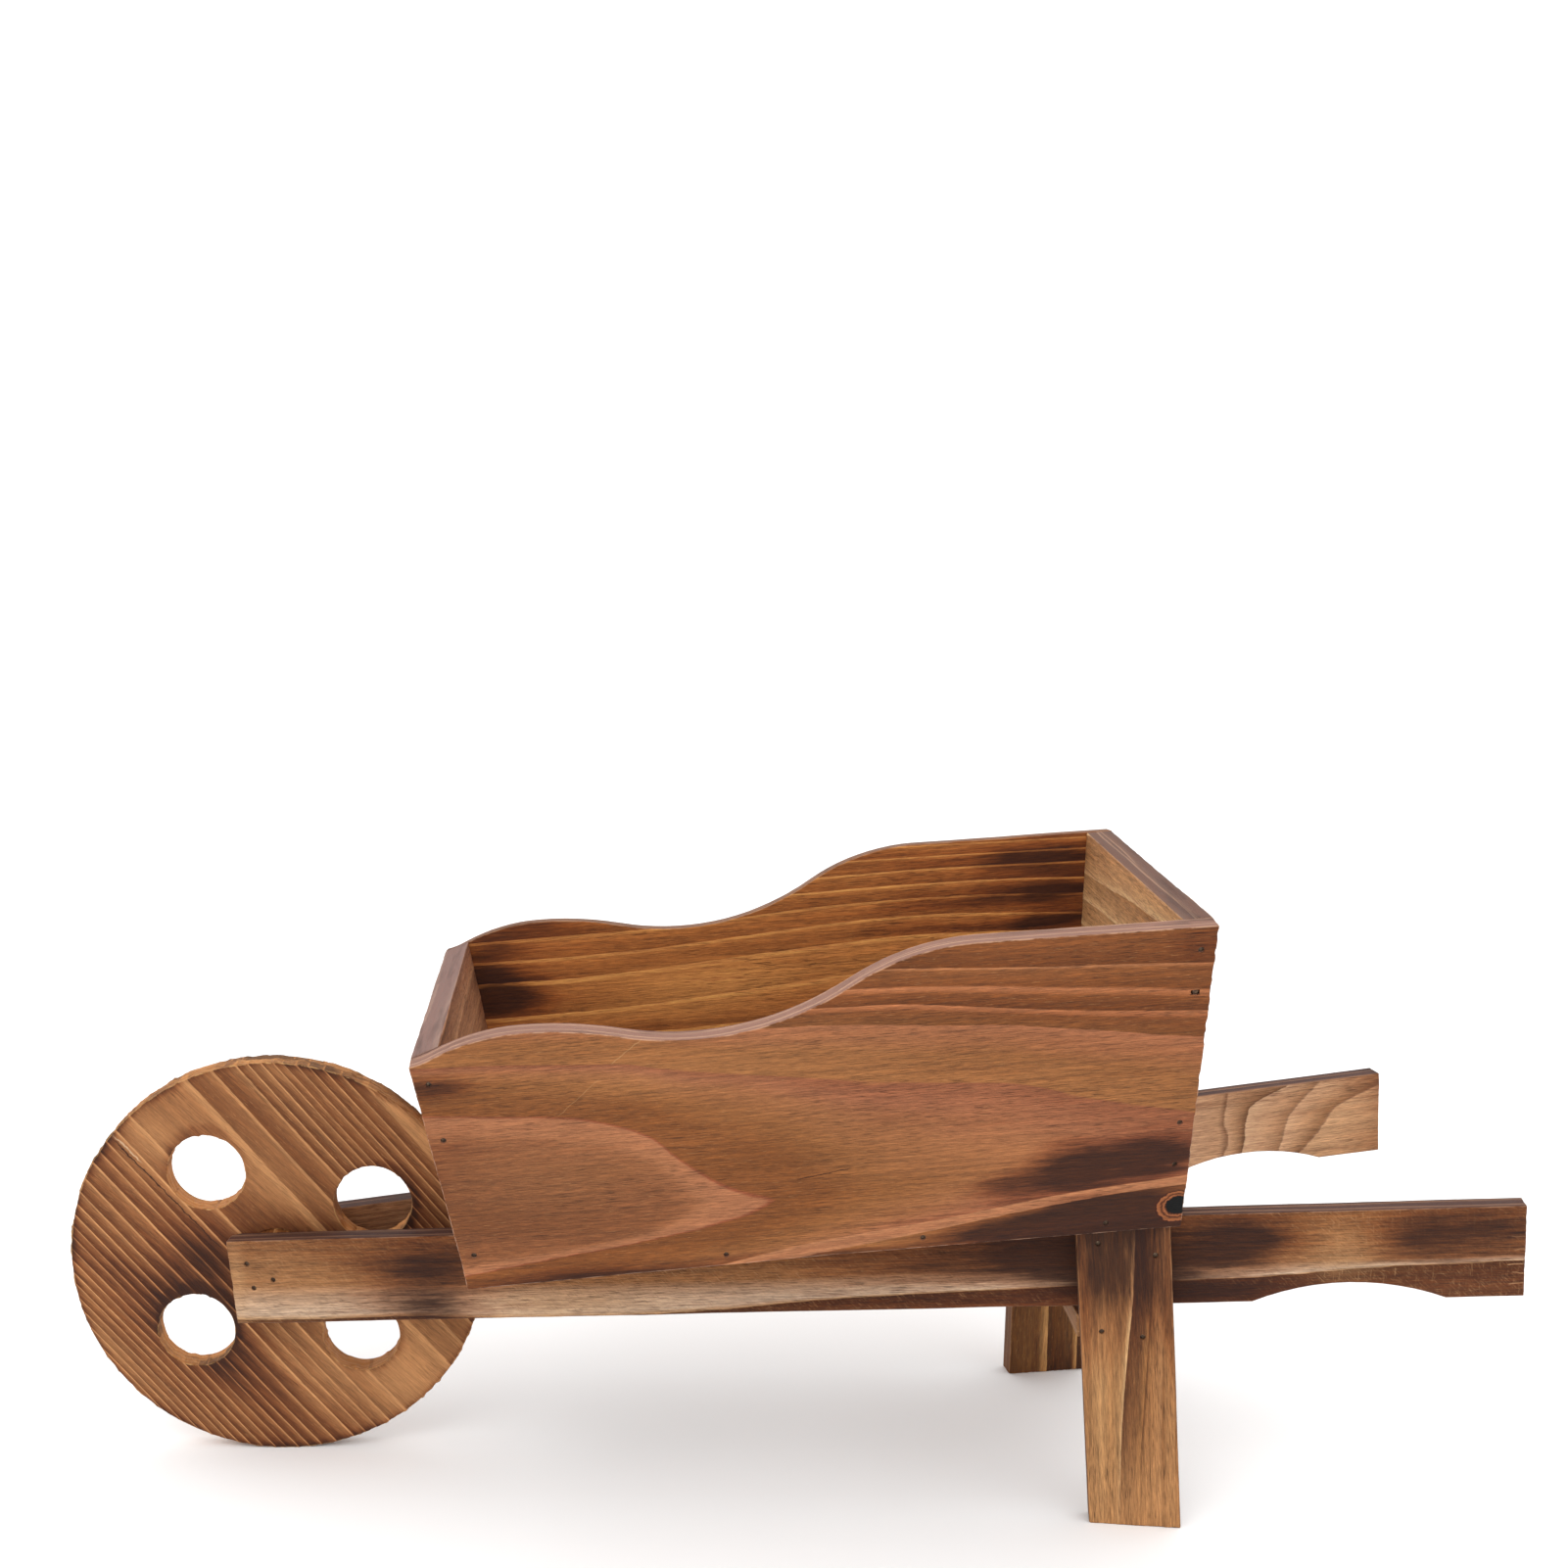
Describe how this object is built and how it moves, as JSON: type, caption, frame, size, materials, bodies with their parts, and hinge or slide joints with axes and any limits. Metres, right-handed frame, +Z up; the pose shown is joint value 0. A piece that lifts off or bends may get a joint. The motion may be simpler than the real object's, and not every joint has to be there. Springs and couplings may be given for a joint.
{
  "type": "wheelbarrow planter",
  "caption": "Small decorative wooden wheelbarrow planter: splayed board tub with a wavy rim on two spreading rails, flat legs and a board wheel.",
  "frame": {"origin": "on the floor, under the middle of the object's box", "axes": "+Z up, +X from the wheel to the handles, +Y to the right-hand rail of a person at the handles who faces the wheel"},
  "size_m": [0.502, 0.171, 0.2179],
  "materials": {
    "side_wood": "torched, brushed and oiled softwood, matt",
    "end_wood": "torched, brushed and oiled softwood, matt",
    "floor_wood": "torched, brushed and oiled softwood, matt",
    "rail_wood": "torched, brushed and oiled softwood, matt",
    "leg_wood": "torched, brushed and oiled softwood, matt",
    "wheel_wood": "torched, brushed and oiled softwood, matt",
    "nail_steel": "dark set-in brad heads"
  },
  "bodies": {
    "cart": {"side_board_left": "side_wood", "side_board_right": "side_wood", "front_board": "end_wood", "rear_board": "end_wood", "floor_board": "floor_wood", "rail_left": "rail_wood", "rail_right": "rail_wood", "leg_left": "leg_wood", "leg_right": "leg_wood", "leg_crossbar": "leg_wood", "axle": "wheel_wood", "nails_floor_front": "nail_steel", "nails_floor_rail_left": "nail_steel", "nails_floor_rail_right": "nail_steel", "nails_floor_rear": "nail_steel", "nails_leg_left_crossbar": "nail_steel", "nails_leg_left_rail": "nail_steel", "nails_leg_right_crossbar": "nail_steel", "nails_leg_right_rail": "nail_steel", "nails_rail_left_axle": "nail_steel", "nails_rail_right_axle": "nail_steel", "nails_side_left_floor": "nail_steel", "nails_side_left_front": "nail_steel", "nails_side_left_rear": "nail_steel", "nails_side_right_floor": "nail_steel", "nails_side_right_front": "nail_steel", "nails_side_right_rear": "nail_steel"},
    "wheel": {"wheel": "wheel_wood"}
  },
  "joints": [
    {"name": "wheel_spin", "type": "hinge", "parent": "cart", "child": "wheel", "pos_m": [-0.17603, 0, 0.075], "axis": [0, 1, 0], "continuous": true}
  ]
}
